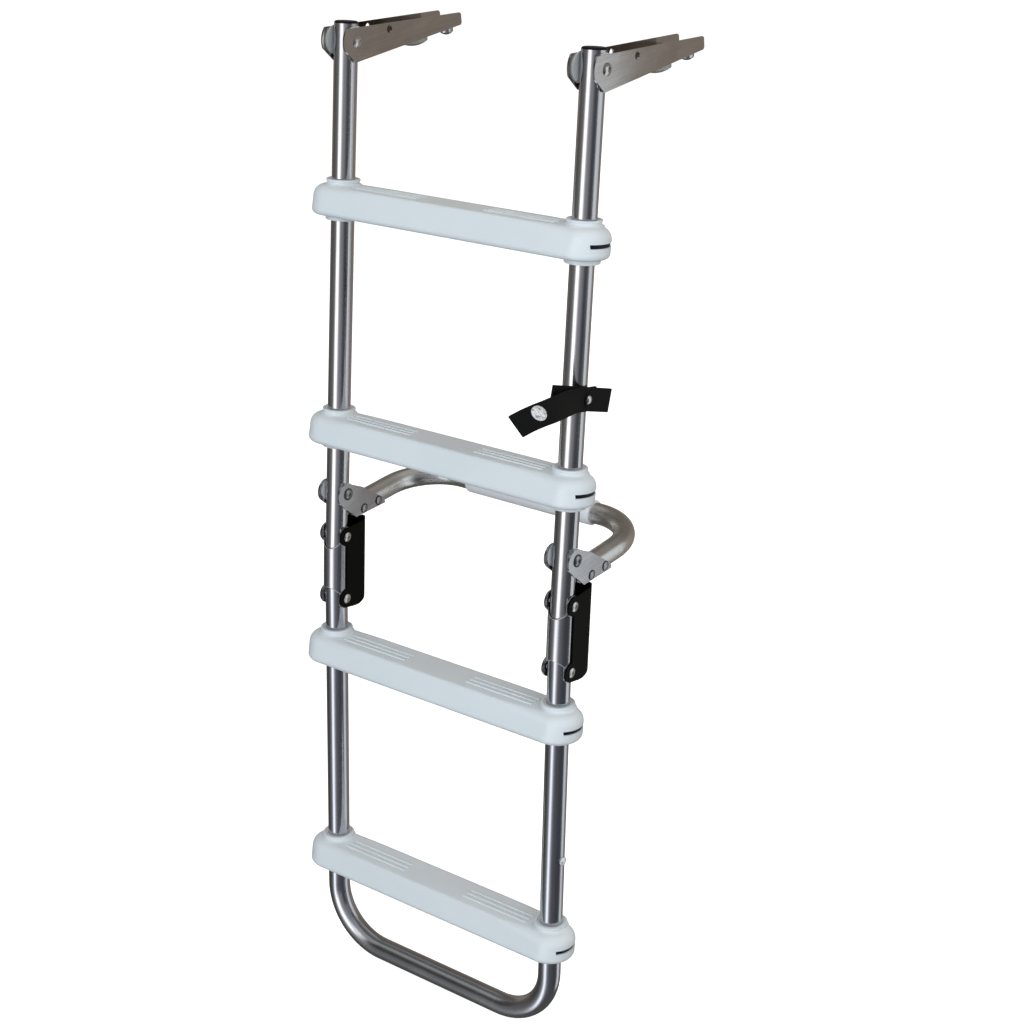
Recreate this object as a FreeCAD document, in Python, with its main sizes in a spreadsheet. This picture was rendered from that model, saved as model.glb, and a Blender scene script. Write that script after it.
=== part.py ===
import FreeCAD, Part
import os
import math
import Sketcher

# Folding four-step boarding ladder of stainless tube with moulded treads.
# Frame: +X towards the right-hand rail, +Y inboard (over the deck), +Z up, millimetres.
# The origin is on the seat of the left bracket, straight below its lock hole, at deck level.
# The rails hang from the pivots and lean outwards at the foot by the lean angle.

V = FreeCAD.Vector
doc = FreeCAD.newDocument("boarding_ladder")

# ---------------------------------------------------------------- driving sizes
sheet = doc.addObject("Spreadsheet::Sheet", "Sizes")
SIZES = [
    ("railspan", 314.0), ("lean", 11.15), ("kick", 1.15),
    ("tubeod", 25.4), ("tubewall", 1.5),
    ("pivotheight", 21.0), ("railabove", 17.6), ("lockhole", 51.7),
    ("treadone", -143.3), ("treadtwo", -395.6), ("treadthree", -656.3), ("treadfour", -923.0),
    ("treadfront", 27.0), ("treadback", 23.0), ("treadflare", 7.5), ("treadover", 30.4), ("treadthick", 31.4),
    ("collarrad", 18.4), ("collarup", 6.0), ("collardown", 6.2),
    ("bailpivot", -493.4), ("hingeupper", -543.9), ("linklength", 74.5), ("tubeshort", 20.0),
    ("footlength", 440.5), ("footbend", 68.0),
    ("bailslope", 8.9), ("baildrop", 26.8), ("bailreach", 149.6), ("bailbend", 61.0), ("bailod", 24.0),
    ("bracketlong", 172.5), ("bracketwall", 2.0), ("flangeinner", 14.0),
    ("boltrad", 4.0), ("boltplay", 0.05), ("headrad", 6.3), ("headhigh", 2.8),
    ("sleeveinner", 13.1), ("sleevewall", 1.1), ("guardwall", 1.6), ("guarddepth", 34.0),
    ("strapwide", 24.5), ("strapthick", 2.4), ("strapbolt", -322.4), ("studdrop", 225.7),
]
for i, (name, value) in enumerate(SIZES, start=1):
    sheet.set("A%d" % i, name)
    sheet.set("B%d" % i, "%g" % value)
    sheet.setAlias("B%d" % i, name)
doc.recompute()
S = {name: float(getattr(sheet, name)) for name, value in SIZES}

W = S["railspan"]
R = S["tubeod"] / 2.0
RI = R - S["tubewall"]
LEAN = S["lean"]
HP = S["pivotheight"]

# ---------------------------------------------------------------- placements
RX = V(1, 0, 0)
def rail_frame():
    """Frame of the leaning rails: origin on the left pivot axis, local Z along the rail."""
    return FreeCAD.Placement(V(0, -S["lockhole"], HP), FreeCAD.Rotation(RX, -LEAN))

def link_frame():
    """Frame of the two-pivot hinge links: origin on the upper hinge bolt."""
    p = FreeCAD.Placement(V(0, 0, S["hingeupper"]), FreeCAD.Rotation(RX, S["kick"]))
    return rail_frame().multiply(p)

def foot_frame():
    """Frame of the lower section: origin on the lower hinge bolt."""
    p = FreeCAD.Placement(V(0, 0, -S["linklength"]), FreeCAD.Rotation(RX, S["kick"]))
    return link_frame().multiply(p)

def bail_frame():
    """Frame of the stand-off bail: origin on its pivot bolt, local Y along the bail's legs."""
    p = FreeCAD.Placement(V(0, 0, S["bailpivot"]), FreeCAD.Rotation(RX, S["bailslope"]))
    return rail_frame().multiply(p)

DECK = FreeCAD.Placement(V(0, -S["lockhole"], 0), FreeCAD.Rotation(RX, 0))
NODES = []

def node(obj, label, frame):
    obj.Label = label
    NODES.append((label, obj, frame))
    return obj

# ---------------------------------------------------------------- primitive helpers
COUNT = [0]
def uid(stem):
    COUNT[0] += 1
    return "%s_%d" % (stem, COUNT[0])

def bind(obj, prop, expr):
    if isinstance(expr, str):
        obj.setExpression(prop, expr)
    else:
        setattr(obj, prop, expr)

def cyl(rad, height, base=(0, 0, 0), axis=(0, 0, 1)):
    c = doc.addObject("Part::Cylinder", uid("cyl"))
    bind(c, "Radius", rad)
    bind(c, "Height", height)
    c.Placement = FreeCAD.Placement(V(*base), FreeCAD.Rotation(V(0, 0, 1), V(*axis)))
    return c

def box(lx, ly, lz, base=(0, 0, 0)):
    b = doc.addObject("Part::Box", uid("box"))
    bind(b, "Length", lx)
    bind(b, "Width", ly)
    bind(b, "Height", lz)
    b.Placement.Base = V(*base)
    return b

def cut(a, b):
    c = doc.addObject("Part::Cut", uid("cut"))
    c.Base = a
    c.Tool = b
    return c

def fuse(objs):
    if len(objs) == 1:
        return objs[0]
    f = doc.addObject("Part::MultiFuse", uid("fuse"))
    f.Shapes = objs
    return f

def solid(shape, stem="solid"):
    f = doc.addObject("Part::Feature", uid(stem))
    f.Shape = shape
    return f

def origin_plane(body, role):
    for feature in body.Origin.OriginFeatures:
        if feature.Role == role:
            return feature

def sketch(body, role, stem, offset=0.0):
    sk = body.newObject("Sketcher::SketchObject", uid(stem))
    sk.AttachmentSupport = [(origin_plane(body, role), "")]
    sk.MapMode = "FlatFace"
    if offset:
        sk.AttachmentOffset = FreeCAD.Placement(V(0, 0, offset), FreeCAD.Rotation())
    return sk

def polyline(sk, pts):
    n = len(pts)
    for i in range(n):
        a, b = pts[i], pts[(i + 1) % n]
        sk.addGeometry(Part.LineSegment(V(a[0], a[1], 0), V(b[0], b[1], 0)), False)

def pad(body, sk, length, midplane=False, reverse=False):
    p = body.newObject("PartDesign::Pad", uid("pad"))
    p.Profile = sk
    bind(p, "Length", length)
    p.Midplane = midplane
    p.Reversed = reverse
    sk.Visibility = False
    return p

# ---------------------------------------------------------------- fasteners
def dome_head(rad, high, edge=0.8):
    """Low domed head on +X, standing on the YZ plane, made as a solid of revolution."""
    cap_r = (rad * rad + (high - edge) ** 2) / (2.0 * (high - edge))
    a = V(0, 0, 0)
    b = V(0, rad, 0)
    c = V(edge, rad, 0)
    top = V(high, 0, 0)
    centre = V(high - cap_r, 0, 0)
    half = math.atan2(rad, cap_r - (high - edge)) / 2.0
    mid = centre + V(cap_r * math.cos(half), cap_r * math.sin(half), 0)
    wire = Part.Wire([Part.LineSegment(a, b).toShape(), Part.LineSegment(b, c).toShape(),
                      Part.Arc(c, mid, top).toShape(), Part.LineSegment(top, a).toShape()])
    return Part.Face(wire).revolve(V(0, 0, 0), V(1, 0, 0), 360)

def through_bolt(x0, x1, rad, head, high, socket=2.0):
    """Bolt along X whose two domed heads bear on x0 and x1."""
    shank = Part.makeCylinder(rad, x1 - x0, V(x0, 0, 0), V(1, 0, 0))
    right = dome_head(head, high)
    left = right.mirror(V(0, 0, 0), V(1, 0, 0))
    right.translate(V(x1, 0, 0))
    left.translate(V(x0, 0, 0))
    s = shank.fuse([right, left]).removeSplitter()
    if socket:
        hexa = [V(x1 + high - 1.6, socket * 1.1547 * math.cos(math.radians(60 * k)),
                  socket * 1.1547 * math.sin(math.radians(60 * k))) for k in range(7)]
        prism = Part.Face(Part.makePolygon(hexa)).extrude(V(4, 0, 0))
        s = s.cut(prism)
        hexa = [V(x0 - high + 1.6, p.y, p.z) for p in hexa]
        prism = Part.Face(Part.makePolygon(hexa)).extrude(V(-4, 0, 0))
        s = s.cut(prism)
    return s

# ---------------------------------------------------------------- deck brackets
FI = S["flangeinner"]
FW = S["bracketwall"]
def deck_bracket(x, label):
    body = doc.addObject("PartDesign::Body", uid("bracket"))
    r = HP
    top0 = 34.7 + 0.1249 * 2.7
    slope = -0.1249
    # where the straight top edge meets the round nose on its outboard side
    a = 1 + slope * slope
    b = 2 * slope * (top0 - HP)
    c = (top0 - HP) ** 2 - r * r
    y1 = (-b - math.sqrt(b * b - 4 * a * c)) / (2 * a)
    z1 = top0 + slope * y1
    tip = S["bracketlong"]
    ztip = top0 + slope * tip
    sk = sketch(body, "YZ_Plane", "profile")
    first = math.atan2(z1 - HP, y1) % (2 * math.pi)
    last = math.radians(193)
    mid_angle = (first + last) / 2.0
    pm = (r * math.cos(mid_angle), HP + r * math.sin(mid_angle))
    pe = (r * math.cos(last), HP + r * math.sin(last))
    sk.addGeometry(Part.Arc(V(y1, z1, 0), V(pm[0], pm[1], 0), V(pe[0], pe[1], 0)), False)
    sk.addGeometry(Part.LineSegment(V(pe[0], pe[1], 0), V(-6.0, 0, 0)), False)
    sk.addGeometry(Part.LineSegment(V(-6.0, 0, 0), V(tip - 2, 0, 0)), False)
    sk.addGeometry(Part.LineSegment(V(tip - 2, 0, 0), V(tip, 2, 0)), False)
    sk.addGeometry(Part.LineSegment(V(tip, 2, 0), V(tip, ztip - 2, 0)), False)
    sk.addGeometry(Part.LineSegment(V(tip, ztip - 2, 0), V(tip - 2, ztip, 0)), False)
    sk.addGeometry(Part.LineSegment(V(tip - 2, ztip, 0), V(y1, z1, 0)), False)
    pad(body, sk, "2 * (Sizes.flangeinner + Sizes.bracketwall)", midplane=True)
    # channel between the flanges, open on top and outboard of the rail
    ch = sketch(body, "YZ_Plane", "channel")
    yb = R / math.cos(math.radians(LEAN)) - HP * math.tan(math.radians(LEAN)) + 0.15
    polyline(ch, [(-40, -5), (yb, -5), (yb, 0), (yb + 3.9, FW), (tip + 10, FW), (tip + 10, 60), (-40, 60)])
    pk = body.newObject("PartDesign::Pocket", uid("pocket"))
    pk.Profile = ch
    bind(pk, "Length", "2 * Sizes.flangeinner")
    pk.Midplane = True
    doc.recompute()
    body.Tip = pk
    body.Placement = FreeCAD.Placement(V(0, 0, 0), FreeCAD.Rotation())
    tools = fuse([cyl("Sizes.boltrad", 60, (-30, 0, HP), (1, 0, 0)),
                  cyl(4.0, 60, (-30, S["lockhole"], 22.1), (1, 0, 0)),
                  box(60, 1.4, 2.5, (-30, 85.0, -2.0))])      # drip groove across the seat
    done = cut(body, tools)
    done.Placement.Base = V(x, 0, 0)
    node(done, label, DECK)
    return x

def place_x(shape_obj, x):
    shape_obj.Placement = FreeCAD.Placement(V(x, 0, 0), FreeCAD.Rotation())

for side, x in (("left", 0.0), ("right", W)):
    deck_bracket(x, side + "_deck_bracket")
    s = through_bolt(-FI - FW, FI + FW, S["boltrad"], S["headrad"], S["headhigh"], 2.4)
    s.translate(V(x, 0, HP))
    node(solid(s, "pivot_bolt"), side + "_pivot_bolt", DECK)
    disc_r = 15.5
    gap = FI - R
    discs = []
    for sgn in (-1, 1):
        xa = sgn * (R + 0.05)
        xb = sgn * FI
        lo = min(xa, xb)
        d = cyl(disc_r, abs(xb - xa), (x + lo, 0, HP), (1, 0, 0))
        discs.append(d)
    hole = cyl("Sizes.boltrad", 60, (x - 30, 0, HP), (1, 0, 0))
    both = doc.addObject("Part::Compound", uid("pair"))
    both.Links = [cut(discs[0], hole), cut(discs[1], cyl("Sizes.boltrad", 60, (x - 30, 0, HP), (1, 0, 0)))]
    node(both, side + "_nylon_spacers", DECK)
    # wide seat pad and small locating stud under the web
    pad_shape = dome_head(16.0, 9.0, 4.0)
    pad_shape.rotate(V(0, 0, 0), V(0, 1, 0), 90)
    pad_shape.translate(V(x, 106.0, 0))
    node(solid(pad_shape, "seat_pad"), side + "_seat_pad", DECK)
    stud = dome_head(7.5, 10.5, 7.0)
    stud.rotate(V(0, 0, 0), V(0, 1, 0), 90)
    stud.translate(V(x, 164.0, 0))
    node(solid(stud, "deck_stud"), side + "_deck_stud", DECK)

# ---------------------------------------------------------------- upper rails and caps
ZTOP = S["railabove"]
ZLOW = S["hingeupper"] - S["tubeshort"]
for side, x in (("left", 0.0), ("right", W)):
    outer = cyl("Sizes.tubeod / 2", ZTOP - ZLOW, (x, 0, ZLOW))
    inner = cyl("Sizes.tubeod / 2 - Sizes.tubewall", ZTOP - ZLOW + 20, (x, 0, ZLOW - 10))
    tools = [inner]
    for z in (0.0, S["bailpivot"], S["hingeupper"]):
        tools.append(cyl("Sizes.boltrad + Sizes.boltplay", 60, (x - 30, 0, z), (1, 0, 0)))
    if side == "right":
        tools.append(cyl(3.0, 30, (x, 0, S["strapbolt"]), (1, 0, 0)))
    node(cut(outer, fuse(tools)), side + "_upper_rail", rail_frame)
    # domed end cap with a plug inside the tube
    cap_pts = [V(0, 0, -8), V(RI - 0.1, 0, -8), V(RI - 0.1, 0, 0), V(R, 0, 0)]
    e = [Part.LineSegment(cap_pts[i], cap_pts[i + 1]).toShape() for i in range(3)]
    e.append(Part.Arc(V(R, 0, 0), V(R - 0.7, 0, 1.6), V(R - 2.3, 0, 2.3)).toShape())
    e.append(Part.LineSegment(V(R - 2.3, 0, 2.3), V(0, 0, 2.6)).toShape())
    e.append(Part.LineSegment(V(0, 0, 2.6), V(0, 0, -8)).toShape())
    cap = Part.Face(Part.Wire(e)).revolve(V(0, 0, 0), V(0, 0, 1), 360)
    cap.translate(V(x, 0, ZTOP))
    node(solid(cap, "cap"), side + "_rail_cap", rail_frame)

# ---------------------------------------------------------------- moulded treads
TT = S["treadthick"]
TB = S["treadback"]
def tread_outline(front, back, z):
    """Plan of a tread: straight front and back joined by round ends outside the rails."""
    rr = (front + back) / 2.0
    yc = (back - front) / 2.0
    xc = S["treadover"] - rr
    xs = [-xc, 60.0, W - 60.0, W + xc]
    edges = []
    for i in range(3):
        edges.append(Part.LineSegment(V(xs[i], -front, z), V(xs[i + 1], -front, z)).toShape())
    edges.append(Part.Arc(V(W + xc, -front, z), V(W + xc + rr, yc, z), V(W + xc, back, z)).toShape())
    for i in range(3):
        edges.append(Part.LineSegment(V(xs[3 - i], back, z), V(xs[2 - i], back, z)).toShape())
    edges.append(Part.Arc(V(-xc, back, z), V(-xc - rr, yc, z), V(-xc, -front, z)).toShape())
    return Part.Wire(edges)

def collar_shape(x, up, down):
    """Turned collar about the rail: lip and foot above the tread, plain ring below it."""
    rc = S["collarrad"]
    rf = rc - 0.9
    foot = 3.0
    e = []
    def line(p, q):
        e.append(Part.LineSegment(V(p[0], 0, p[1]), V(q[0], 0, q[1])).toShape())
    def arc(p, m, q):
        e.append(Part.Arc(V(p[0], 0, p[1]), V(m[0], 0, m[1]), V(q[0], 0, q[1])).toShape())
    k = foot * (1 - math.sqrt(0.5))
    line((10, -8), (rf + foot, -8))
    line((rf + foot, -8), (rf + foot, 0))
    arc((rf + foot, 0), (rf + k, k), (rf, foot))
    line((rf, foot), (rf, up - 2.6))
    line((rf, up - 2.6), (rc, up - 1.9))
    line((rc, up - 1.9), (rc, up - 0.8))
    arc((rc, up - 0.8), (rc - 0.234, up - 0.234), (rc - 0.8, up))
    line((rc - 0.8, up), (15.7, up))
    line((15.7, up), (15.2, up - 0.7))
    line((15.2, up - 0.7), (15.2, up - 3.0))
    line((15.2, up - 3.0), (10, up - 3.0))
    line((10, up - 3.0), (10, -8))
    top = Part.Face(Part.Wire(e)).revolve(V(0, 0, 0), V(0, 0, 1), 360)
    e = []
    z = -TT
    line((10, z + 2), (rc, z + 2))
    line((rc, z + 2), (rc, z - down + 1.2))
    arc((rc, z - down + 1.2), (rc - 0.351, z - down + 0.351), (rc - 1.2, z - down))
    line((rc - 1.2, z - down), (15.0, z - down))
    line((15.0, z - down), (15.0, z - down + 2.4))
    line((15.0, z - down + 2.4), (10, z - down + 2.4))
    line((10, z - down + 2.4), (10, z + 2))
    low = Part.Face(Part.Wire(e)).revolve(V(0, 0, 0), V(0, 0, 1), 360)
    top.translate(V(x, 0, 0))
    low.translate(V(x, 0, 0))
    return top, low

def tread(z_collar_top, label, frame):
    """Moulded step with round ends about the rails and a collar above and below."""
    front = S["treadfront"]
    flare = S["treadflare"]
    ztop = z_collar_top - S["collarup"]
    base = solid(Part.makeLoft([tread_outline(front + flare, TB + 0.5, -TT), tread_outline(front, TB, 0)], True, True), "blank")
    edges = []
    for k, ed in enumerate(base.Shape.Edges, start=1):
        a, b = ed.Vertexes[0], ed.Vertexes[-1]
        if abs(a.Z - b.Z) > 0.01:
            continue
        if a.Z < -1:
            edges.append((k, 5.5, 5.5))
            continue
        radii = []
        for v in (a, b):
            inner = 59 < v.X < W - 59
            radii.append((4.0 if v.Y < 0 else 10.0) if inner else 12.5)
        edges.append((k, radii[0], radii[1]))
    fl = doc.addObject("Part::Fillet", uid("round"))
    fl.Base = base
    fl.Edges = edges
    doc.recompute()
    t = fl.Shape.Solids[0]
    for x in (0.0, W):
        for shape in collar_shape(x, S["collarup"], S["collardown"]):
            t = t.fuse(shape)
    # raised grip ribs in two groups on the top
    for g0, g1 in ((25.0, 113.0), (W - 113.0, W - 25.0)):
        for k in range(3):
            y = -13.5 + 7.5 * k
            rib = Part.makeBox(g1 - g0, 3.0, 2.2, V(g0, y - 1.5, -1.0))
            rib = rib.makeFillet(0.9, [ed for ed in rib.Edges if ed.BoundBox.ZMin > 1.0])
            t = t.fuse(rib)
    # bores for the rails, and a mould slot across each round end, half way up
    for x in (0.0, W):
        t = t.cut(Part.makeCylinder(R + 0.02, 80, V(x, 0, -60)))
    zs = S["collarup"] - 22.6
    for x0s in (W + 21.6, -41.6):
        t = t.cut(Part.makeBox(20, 43.5, 4.2, V(x0s, -22, zs - 2.1)))
    if len(t.Solids) != 1 or t.Volume < 400000:
        raise RuntimeError("tread %s came apart" % label)
    t.translate(V(0, 0, ztop))
    node(solid(t.Solids[0], "tread"), label, frame)
    return ztop

tread(S["treadone"], "tread_1", rail_frame)
tread(S["treadtwo"], "tread_2", rail_frame)
foot_origin = S["hingeupper"] - S["linklength"]
tread(S["treadthree"] - foot_origin, "tread_3", foot_frame)
tread(S["treadfour"] - foot_origin, "tread_4", foot_frame)

# ---------------------------------------------------------------- storage strap
ST = S["strapthick"]
SW = S["strapwide"]
XB = W + R + 0.1
band_body = doc.addObject("PartDesign::Body", uid("strap"))
bs = sketch(band_body, "YZ_Plane", "band")
tilt = math.radians(-12.0)
def rot(y, z):
    return (y * math.cos(tilt) - z * math.sin(tilt), y * math.sin(tilt) + z * math.cos(tilt))
polyline(bs, [rot(-61, -SW / 2), rot(43, -SW / 2), rot(43, SW / 2), rot(-61, SW / 2)])
pad(band_body, bs, "Sizes.strapthick")
doc.recompute()
band_body.Placement.Base = V(XB, 0, S["strapbolt"])
node(cut(band_body, cyl(3.0, 60, (W - 5, 0, S["strapbolt"]), (1, 0, 0))), "strap_band", rail_frame)

def strip_section(cx, cy, cz, twist, dirv, wid, thick):
    """Rectangle across a strip: twist turns the lower edge outboard."""
    d = V(*dirv)
    d.normalize()
    w = V(math.sin(twist), 0, -math.cos(twist))
    w = w - d * w.dot(d)
    w.normalize()
    n = d.cross(w)
    c = V(cx, cy, cz)
    p = [c + w * (wid / 2) + n * (thick / 2), c + w * (wid / 2) - n * (thick / 2),
         c - w * (wid / 2) - n * (thick / 2), c - w * (wid / 2) + n * (thick / 2)]
    return Part.makePolygon(p + [p[0]])

x0 = XB + ST + 0.1 + ST / 2
# centre line of the flap outboard of the rail, forward and up, with its twist in degrees
FLAP = [(0.0, 12.0, -0.6, 0.0), (0.0, -9.0, 1.2, 0.0), (5.0, -34.0, 5.2, 14.0), (15.0, -69.0, 8.2, 33.0),
        (20.0, -93.9, 9.2, 42.0), (18.5, -108.6, 7.8, 46.0), (14.5, -121.6, 4.4, 47.0), (11.0, -134.2, 0.3, 47.0)]

def flap_at(s):
    """Point, direction and width direction on the flap's smooth centre line."""
    i = min(int(s), len(FLAP) - 2)
    f = s - i
    p = [FLAP[max(i - 1, 0)], FLAP[i], FLAP[i + 1], FLAP[min(i + 2, len(FLAP) - 1)]]
    def ease(k):
        m1 = (p[2][k] - p[0][k]) / 2.0
        m2 = (p[3][k] - p[1][k]) / 2.0
        h = (2 * f ** 3 - 3 * f ** 2 + 1, f ** 3 - 2 * f ** 2 + f, -2 * f ** 3 + 3 * f ** 2, f ** 3 - f ** 2)
        g = (6 * f ** 2 - 6 * f, 3 * f ** 2 - 4 * f + 1, -6 * f ** 2 + 6 * f, 3 * f ** 2 - 2 * f)
        return (h[0] * p[1][k] + h[1] * m1 + h[2] * p[2][k] + h[3] * m2,
                g[0] * p[1][k] + g[1] * m1 + g[2] * p[2][k] + g[3] * m2)
    x, y, z, tw = [ease(k) for k in range(4)]
    return V(x0 + x[0], y[0], z[0]), V(x[1], y[1], z[1]), math.radians(tw[0])

flap_secs = []
for k in range(0, 2 * (len(FLAP) - 1) + 1):
    c, d, tw = flap_at(k / 2.0)
    if k < 3:
        c = V(x0, c.y, c.z)
        d = V(0, -1, 0.06)
        tw = 0.0
    flap_secs.append(strip_section(c.x, c.y, c.z, tw, (d.x, d.y, d.z), SW, ST))
flap = Part.makeLoft(flap_secs, True, True)
flap = flap.cut(Part.makeCylinder(3.0, 60, V(W - 5, 0, 0), V(1, 0, 0)))

# snap fastener on the strap's free end, square to the strip there
snap = dome_head(8.2, 3.4)
snap = snap.fuse(Part.makeCylinder(6.0, 1.6, V(-ST - 1.4, 0, 0), V(1, 0, 0))).fuse(Part.makeCylinder(2.5, ST + 0.4, V(-ST - 0.2, 0, 0), V(1, 0, 0)))
c4, d4, tw = flap_at(4.95)
d4.normalize()
w4 = V(math.sin(tw), 0, -math.cos(tw))
w4 = w4 - d4 * w4.dot(d4)
w4.normalize()
n4 = d4.cross(w4)
if n4.x < 0:
    n4 = n4 * -1
snap.Placement = FreeCAD.Placement(c4 - w4 * 1.6 + n4 * (ST / 2 - 0.1), FreeCAD.Rotation(V(1, 0, 0), n4))
flap = flap.cut(snap)
if len(flap.Solids) != 1:
    raise RuntimeError("the strap's flap is not one piece")
flap = flap.Solids[0]
flap.translate(V(0, 0, S["strapbolt"]))
node(solid(flap, "strap_flap"), "strap_flap", rail_frame)
snap.translate(V(0, 0, S["strapbolt"]))
node(solid(snap, "snap_button"), "snap_button", rail_frame)

head = dome_head(4.6, 2.6)
head.translate(V(x0 + ST / 2, 0, 0))
screw = head.fuse(Part.makeCylinder(2.95, x0 + ST / 2 - (W + RI - 6), V(W + RI - 6, 0, 0), V(1, 0, 0)))
screw.translate(V(0, 0, S["strapbolt"]))
node(solid(screw, "strap_bolt"), "strap_bolt", rail_frame)

# ---------------------------------------------------------------- stand-off bail
BR = S["bailod"] / 2.0
bail_body = doc.addObject("PartDesign::Body", uid("bail"))
D = S["bailreach"]
RB = S["bailbend"]
y0 = 20.5
path = sketch(bail_body, "XY_Plane", "path", 0.0)
path.addGeometry(Part.LineSegment(V(0, y0, 0), V(0, D - RB, 0)), False)
k = RB * (1 - math.sqrt(0.5))
path.addGeometry(Part.Arc(V(0, D - RB, 0), V(k, D - k, 0), V(RB, D, 0)), False)
path.addGeometry(Part.LineSegment(V(RB, D, 0), V(W - RB, D, 0)), False)
path.addGeometry(Part.Arc(V(W - RB, D, 0), V(W - k, D - k, 0), V(W, D - RB, 0)), False)
path.addGeometry(Part.LineSegment(V(W, D - RB, 0), V(W, y0, 0)), False)
prof = sketch(bail_body, "XZ_Plane", "section")
prof.AttachmentOffset = FreeCAD.Placement(V(0, 0, -y0), FreeCAD.Rotation())
prof.addGeometry(Part.Circle(V(0, 0, 0), V(0, 0, 1), BR), False)
prof.addGeometry(Part.Circle(V(0, 0, 0), V(0, 0, 1), BR - S["tubewall"]), False)
doc.recompute()
pipe = bail_body.newObject("PartDesign::AdditivePipe", uid("pipe"))
pipe.Profile = prof
pipe.Spine = (path, ["Edge1", "Edge2", "Edge3", "Edge4", "Edge5"])
doc.recompute()
bail_body.Placement.Base = V(0, 0, -S["baildrop"])
BOLTY = (24.0, 48.8)
tools = []
for x in (0.0, W):
    for y in BOLTY:
        tools.append(cyl(3.0, 60, (x - 30, y, -S["baildrop"]), (1, 0, 0)))
for x in (0.0, W):
    bd = -S["baildrop"]
    mitre = Part.makePolygon([V(x - 20, y0 - 5, bd - 5.1), V(x - 20, y0 + 19, bd - BR - 0.4), V(x - 20, y0 + 19, bd - BR - 9), V(x - 20, y0 - 5, bd - BR - 9), V(x - 20, y0 - 5, bd - 5.1)])
    tools.append(solid(Part.Face(mitre).extrude(V(40, 0, 0)), "mitre"))
node(cut(bail_body, fuse(tools)), "bail_tube", bail_frame)
BF = BR
sleeve_o = cyl(BR + 2.6, W - 2 * RB - 30, (RB + 15, D, -S["baildrop"]), (1, 0, 0))
sleeve_i = cyl(BR + 0.05, W, (0, D, -S["baildrop"]), (1, 0, 0))
node(cut(sleeve_o, sleeve_i), "bail_sleeve", bail_frame)

PI = 13.4      # plates' inner face from the rail's centre
PT = 2.5       # plate thickness
def bail_bracket(x, label):
    """Pair of side plates joined behind the rail by a short web, which rests on the rail."""
    body = doc.addObject("PartDesign::Body", uid("bailplates"))
    sk = sketch(body, "YZ_Plane", "plate")
    a = math.radians(-S["bailslope"])
    def rf(y, z):
        # from the rail's own frame into the bail's
        return (y * math.cos(a) - z * math.sin(a), y * math.sin(a) + z * math.cos(a))
    lobe = 13.2
    lobe_y, lobe_z = rf(-2.4, -1.0)
    p_low = rf(14.9, -30.2)
    p_end = rf(64.0, -24.2)
    p_endt = rf(63.0, -18.5)
    p_top = rf(24.6, 3.2)
    def on_lobe(t):
        return (lobe_y + lobe * math.cos(t), lobe_z + lobe * math.sin(t))
    def tangent(px, py, sgn):
        d = math.hypot(px - lobe_y, py - lobe_z)
        base = math.atan2(py - lobe_z, px - lobe_y)
        off = math.acos(lobe / d)
        t = base + sgn * off
        return on_lobe(t), t
    (ta, aa) = tangent(p_top[0], p_top[1], 1)
    (tb, ab) = tangent(p_low[0], p_low[1], -1)
    while ab < aa:
        ab += 2 * math.pi
    am = (aa + ab) / 2
    sk.addGeometry(Part.Arc(V(ta[0], ta[1], 0), V(on_lobe(am)[0], on_lobe(am)[1], 0), V(tb[0], tb[1], 0)), False)
    pts = [tb, p_low, p_end, p_endt, p_top, ta]
    for i in range(len(pts) - 1):
        sk.addGeometry(Part.LineSegment(V(pts[i][0], pts[i][1], 0), V(pts[i + 1][0], pts[i + 1][1], 0)), False)
    pad(body, sk, 2 * (PI + PT), midplane=True)
    ch = sketch(body, "YZ_Plane", "gap")
    # everything between the plates is open except the short web behind the rail
    w0 = rf(R + 0.15, -31.5)
    w1 = rf(R + 0.15, -26.0)
    w2 = rf(R + 2.2, -26.0)
    w3 = rf(R + 2.2, -31.5)
    polyline(ch, [(-60, -60), w0, w1, w2, w3, (120, -60), (120, 60), (-60, 60)])
    pk = body.newObject("PartDesign::Pocket", uid("pocket"))
    pk.Profile = ch
    pk.Length = 2 * PI
    pk.Midplane = True
    doc.recompute()
    body.Tip = pk
    tools = [cyl("Sizes.boltrad", 60, (-30, 0, 0), (1, 0, 0))]
    for y in BOLTY:
        tools.append(cyl(3.0, 60, (-30, y, -S["baildrop"]), (1, 0, 0)))
    c = cut(body, fuse(tools))
    c.Placement.Base = V(x, 0, 0)
    node(c, label, bail_frame)

for side, x in (("left", 0.0), ("right", W)):
    bail_bracket(x, side + "_bail_bracket")
    s = through_bolt(-PI - PT, PI + PT, S["boltrad"], 5.6, 2.4, 2.2)
    s.translate(V(x, 0, 0))
    node(solid(s, "bail_pivot"), side + "_bail_pivot", bail_frame)
    pair = []
    for y in BOLTY:
        b = through_bolt(-PI - PT, PI + PT, 3.0, 4.4, 1.8, 0)
        b.translate(V(x, y, -S["baildrop"]))
        pair.append(b)
    node(solid(Part.makeCompound(pair), "bail_bolts"), side + "_bail_bolts", bail_frame)

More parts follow.
